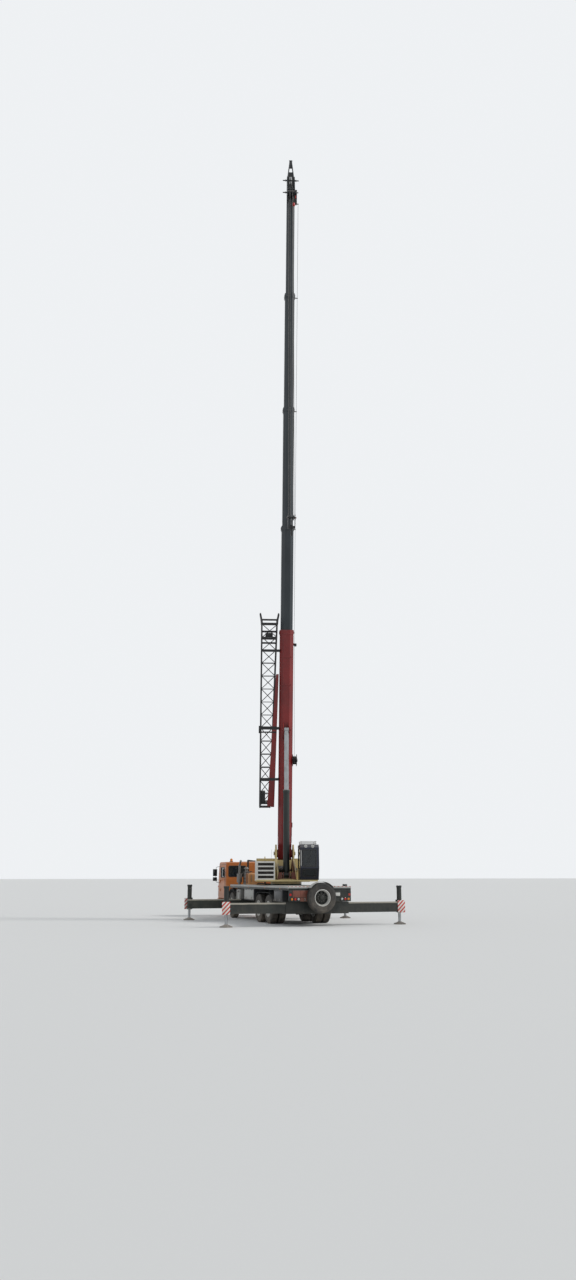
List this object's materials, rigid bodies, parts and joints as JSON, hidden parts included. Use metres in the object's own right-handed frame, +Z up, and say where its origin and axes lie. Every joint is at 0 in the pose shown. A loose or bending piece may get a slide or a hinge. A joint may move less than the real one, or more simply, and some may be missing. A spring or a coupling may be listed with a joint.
{
  "type": "mobile crane",
  "caption": "Truck-mounted telescopic crane on outriggers with raised boom, stowed lattice jib, hook block, operator's cab and low driver's cab.",
  "frame": {"origin": "on the ground, midway between the carrier's nose and tail, on its centre plane", "axes": "+X to the carrier's nose, +Y to its left, +Z up"},
  "size_m": [11, 7.47, 33.3534],
  "materials": {
    "chassis": "semi-gloss dark paint",
    "cab_orange": "orange enamel",
    "deck_grey": "light grey enamel",
    "boom_red": "red enamel",
    "boom_slate": "dark slate enamel",
    "table_cream": "cream yellow enamel",
    "cab_navy": "dark navy enamel",
    "tyre": "moulded rubber",
    "rod_chrome": "polished hard chrome",
    "seat": "woven seat cover",
    "steel": "worn steel",
    "lamp": "clear lamp lens",
    "jib_black": "black enamel"
  },
  "bodies": {
    "root": {"chassis_frame": "chassis", "front_bumper": "cab_orange", "engine_block": "steel", "deck_plates": "deck_grey", "mudguards": "chassis", "front_axle": "chassis", "rear_axles": "chassis", "leaf_springs": "chassis", "outrigger_boxes": "chassis", "cab_floor": "cab_orange", "cab_rear_wall": "cab_orange", "cab_roof": "cab_orange", "cab_front_wall": "cab_orange", "cab_side_frames": "cab_orange", "cab_interior": "seat", "side_boxes": "deck_grey", "slew_pedestal": "chassis", "spare_wheel": "tyre", "boom_rest": "chassis", "exhaust_and_filter": "steel", "tail_beam": "chassis", "head_lamps": "lamp"},
    "knuckle_left": {"steering_knuckle_left": "chassis"},
    "knuckle_right": {"steering_knuckle_right": "chassis"},
    "wheel_front_left": {"front_wheel_left": "tyre"},
    "wheel_front_right": {"front_wheel_right": "tyre"},
    "wheel_rear_1_left": {"rear_wheel_1_left": "tyre"},
    "wheel_rear_1_right": {"rear_wheel_1_right": "tyre"},
    "wheel_rear_2_left": {"rear_wheel_2_left": "tyre"},
    "wheel_rear_2_right": {"rear_wheel_2_right": "tyre"},
    "outrigger_front_left": {"outrigger_beam_front_left": "chassis"},
    "jack_front_left": {"outrigger_jack_front_left": "rod_chrome"},
    "outrigger_front_right": {"outrigger_beam_front_right": "chassis"},
    "jack_front_right": {"outrigger_jack_front_right": "rod_chrome"},
    "outrigger_rear_left": {"outrigger_beam_rear_left": "chassis"},
    "jack_rear_left": {"outrigger_jack_rear_left": "rod_chrome"},
    "outrigger_rear_right": {"outrigger_beam_rear_right": "chassis"},
    "jack_rear_right": {"outrigger_jack_rear_right": "rod_chrome"},
    "cab_door_left": {"cab_door_left": "cab_orange"},
    "cab_door_right": {"cab_door_right": "cab_orange"},
    "superstructure": {"turntable": "table_cream", "counterweight": "table_cream", "cooler_housing": "deck_grey", "operator_cab": "cab_navy", "operator_seat": "seat"},
    "operator_door": {"operator_door": "cab_navy"},
    "winch_drum": {"winch_drum": "steel"},
    "boom_base": {"boom_base": "boom_red", "jib_lattice": "jib_black", "jib_box": "boom_red", "jib_brackets": "jib_black", "cable_reel": "jib_black"},
    "boom_section_1": {"boom_section_1": "boom_slate"},
    "boom_section_2": {"boom_section_2": "boom_slate"},
    "boom_section_3": {"boom_section_3": "boom_slate"},
    "boom_section_4": {"boom_section_4": "boom_slate"},
    "lift_barrel": {"lift_barrel": "chassis"},
    "lift_rod": {"lift_rod": "rod_chrome"},
    "falls": {"rope_falls": "steel"},
    "hook": {"hook_block": "jib_black"}
  },
  "joints": [
    {"name": "steer_left", "type": "hinge", "parent": "root", "child": "knuckle_left", "pos_m": [3, 0.82, 0.55], "axis": [0, 0, 1], "range_deg": [-32, 32]},
    {"name": "steer_right", "type": "hinge", "parent": "root", "child": "knuckle_right", "pos_m": [3, -0.82, 0.55], "axis": [0, 0, 1], "range_deg": [-32, 32]},
    {"name": "front_wheel_left_spin", "type": "hinge", "parent": "knuckle_left", "child": "wheel_front_left", "pos_m": [3, 1.095, 0.55], "axis": [0, 1, 0], "continuous": true},
    {"name": "front_wheel_right_spin", "type": "hinge", "parent": "knuckle_right", "child": "wheel_front_right", "pos_m": [3, -1.095, 0.55], "axis": [0, 1, 0], "continuous": true},
    {"name": "rear_wheel_1_left_spin", "type": "hinge", "parent": "root", "child": "wheel_rear_1_left", "pos_m": [-1.25, 0.955, 0.55], "axis": [0, 1, 0], "continuous": true},
    {"name": "rear_wheel_1_right_spin", "type": "hinge", "parent": "root", "child": "wheel_rear_1_right", "pos_m": [-1.25, -0.955, 0.55], "axis": [0, 1, 0], "continuous": true},
    {"name": "rear_wheel_2_left_spin", "type": "hinge", "parent": "root", "child": "wheel_rear_2_left", "pos_m": [-2.6, 0.955, 0.55], "axis": [0, 1, 0], "continuous": true},
    {"name": "rear_wheel_2_right_spin", "type": "hinge", "parent": "root", "child": "wheel_rear_2_right", "pos_m": [-2.6, -0.955, 0.55], "axis": [0, 1, 0], "continuous": true},
    {"name": "outrigger_front_left_slide", "type": "slide", "parent": "root", "child": "outrigger_front_left", "axis": [0, -1, 0], "range_m": [0, 2.12]},
    {"name": "jack_front_left_lift", "type": "slide", "parent": "outrigger_front_left", "child": "jack_front_left", "axis": [0, 0, 1], "range_m": [0, 0.32]},
    {"name": "outrigger_front_right_slide", "type": "slide", "parent": "root", "child": "outrigger_front_right", "axis": [0, 1, 0], "range_m": [0, 2.12]},
    {"name": "jack_front_right_lift", "type": "slide", "parent": "outrigger_front_right", "child": "jack_front_right", "axis": [0, 0, 1], "range_m": [0, 0.32]},
    {"name": "outrigger_rear_left_slide", "type": "slide", "parent": "root", "child": "outrigger_rear_left", "axis": [0, -1, 0], "range_m": [0, 2.12]},
    {"name": "jack_rear_left_lift", "type": "slide", "parent": "outrigger_rear_left", "child": "jack_rear_left", "axis": [0, 0, 1], "range_m": [0, 0.32]},
    {"name": "outrigger_rear_right_slide", "type": "slide", "parent": "root", "child": "outrigger_rear_right", "axis": [0, 1, 0], "range_m": [0, 2.12]},
    {"name": "jack_rear_right_lift", "type": "slide", "parent": "outrigger_rear_right", "child": "jack_rear_right", "axis": [0, 0, 1], "range_m": [0, 0.32]},
    {"name": "cab_door_left_hinge", "type": "hinge", "parent": "root", "child": "cab_door_left", "pos_m": [5.043, 1.254, 1.46], "axis": [0, 0, -1], "range_deg": [0, 70]},
    {"name": "cab_door_right_hinge", "type": "hinge", "parent": "root", "child": "cab_door_right", "pos_m": [5.043, -1.254, 1.46], "axis": [0, 0, 1], "range_deg": [0, 70]},
    {"name": "slewing", "type": "hinge", "parent": "root", "child": "superstructure", "pos_m": [-1.1, 0, 1.5], "axis": [0, 0, 1], "continuous": true},
    {"name": "operator_door_slide", "type": "slide", "parent": "superstructure", "child": "operator_door", "axis": [0.9659, -0.2588, 0], "range_m": [0, 0.75]},
    {"name": "winch_turn", "type": "hinge", "parent": "superstructure", "child": "winch_drum", "pos_m": [0.88015, -0.53058, 2.06], "axis": [-0.2588, -0.9659, 0], "continuous": true},
    {"name": "boom_luff", "type": "hinge", "parent": "superstructure", "child": "boom_base", "pos_m": [0.1557, -0.33646, 2.75], "axis": [-0.2588, -0.9659, 0], "range_deg": [-2, 80]},
    {"name": "lift_barrel_swing", "type": "hinge", "parent": "superstructure", "child": "lift_barrel", "pos_m": [-1.24585, 0.03908, 1.864], "axis": [-0.2588, -0.9659, 0], "range_deg": [-2.63, 85.65]},
    {"name": "lift_rod_slide", "type": "slide", "parent": "lift_barrel", "child": "lift_rod", "axis": [-0.0096, 0.0026, 1], "range_m": [-2.1721, 0.0736]},
    {"name": "telescope_1", "type": "slide", "parent": "boom_base", "child": "boom_section_1", "axis": [0.1677, -0.0449, -0.9848], "range_m": [-1.7, 4.28]},
    {"name": "telescope_2", "type": "slide", "parent": "boom_section_1", "child": "boom_section_2", "axis": [0.1677, -0.0449, -0.9848], "range_m": [-1.996, 5.01]},
    {"name": "telescope_3", "type": "slide", "parent": "boom_section_2", "child": "boom_section_3", "axis": [0.1677, -0.0449, -0.9848], "range_m": [-1.948, 4.89]},
    {"name": "telescope_4", "type": "slide", "parent": "boom_section_3", "child": "boom_section_4", "axis": [0.1677, -0.0449, -0.9848], "range_m": [-1.607, 4.03]},
    {"name": "hook_swing", "type": "hinge", "parent": "boom_section_4", "child": "falls", "pos_m": [-4.93985, 1.02888, 31.51597], "axis": [-0.2588, -0.9659, 0], "range_deg": [-81, 3]},
    {"name": "hook_hoist", "type": "slide", "parent": "falls", "child": "hook", "axis": [0, 0, 1], "range_m": [-5.849, 14.71], "deforming": ["rope_falls"]}
  ],
  "couplings": [
    {"joint": "steer_right", "follows": "steer_left", "ratio": 1},
    {"joint": "lift_barrel_swing", "follows": "boom_luff", "ratio": 1.0644},
    {"joint": "lift_rod_slide", "follows": "boom_luff", "m_per_rad": -1.5342},
    {"joint": "telescope_2", "follows": "telescope_1", "ratio": 1.1682},
    {"joint": "telescope_3", "follows": "telescope_1", "ratio": 1.1402},
    {"joint": "telescope_4", "follows": "telescope_1", "ratio": 0.93925},
    {"joint": "hook_swing", "follows": "boom_luff", "ratio": -1},
    {"joint": "hook_hoist", "follows": "telescope_1", "ratio": 3.4346}
  ]
}
